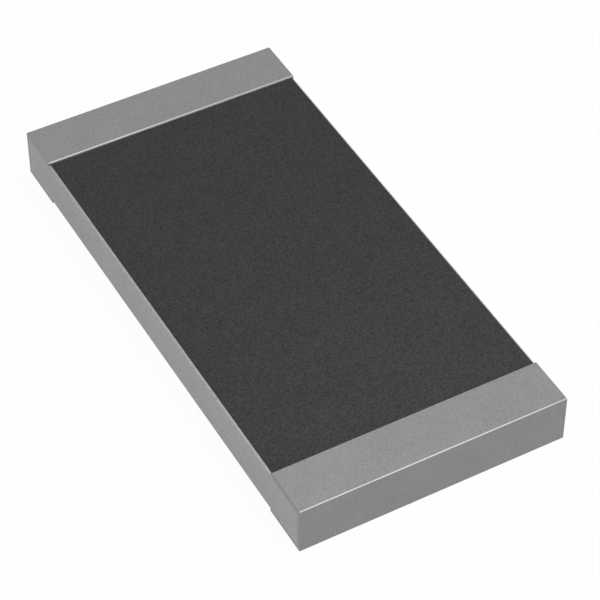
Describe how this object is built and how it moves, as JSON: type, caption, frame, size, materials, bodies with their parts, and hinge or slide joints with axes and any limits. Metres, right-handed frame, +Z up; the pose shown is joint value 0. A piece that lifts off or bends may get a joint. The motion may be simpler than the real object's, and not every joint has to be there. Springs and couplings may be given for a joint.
{
  "type": "chip resistor",
  "caption": "Flat surface-mount thick-film chip resistor: alumina plate, matt black coat on top, and a tin-plated wrap-round termination at each end.",
  "frame": {"origin": "middle of the solder plane, under the chip", "axes": "+X along the chip's length, +Y across its width, +Z up out of the board, through the black coat"},
  "size_m": [0.0064, 0.0032, 0.0006],
  "materials": {
    "alumina": "fired, fine grain",
    "silver": "fired print",
    "end_silver": "cured coat",
    "resistor_print": "fired print",
    "passivation": "fired glass",
    "black_coat": "matt",
    "nickel": "plated",
    "tin": "matt plated"
  },
  "bodies": {
    "root": {"ceramic_substrate": "alumina", "left_bottom_electrode": "silver", "right_bottom_electrode": "silver", "left_top_electrode": "silver", "right_top_electrode": "silver", "resistive_film": "resistor_print", "glass_passivation": "passivation", "black_overcoat": "black_coat", "left_end_electrode": "end_silver", "right_end_electrode": "end_silver", "left_nickel_barrier": "nickel", "right_nickel_barrier": "nickel", "left_tin_plating": "tin", "right_tin_plating": "tin"}
  },
  "joints": []
}
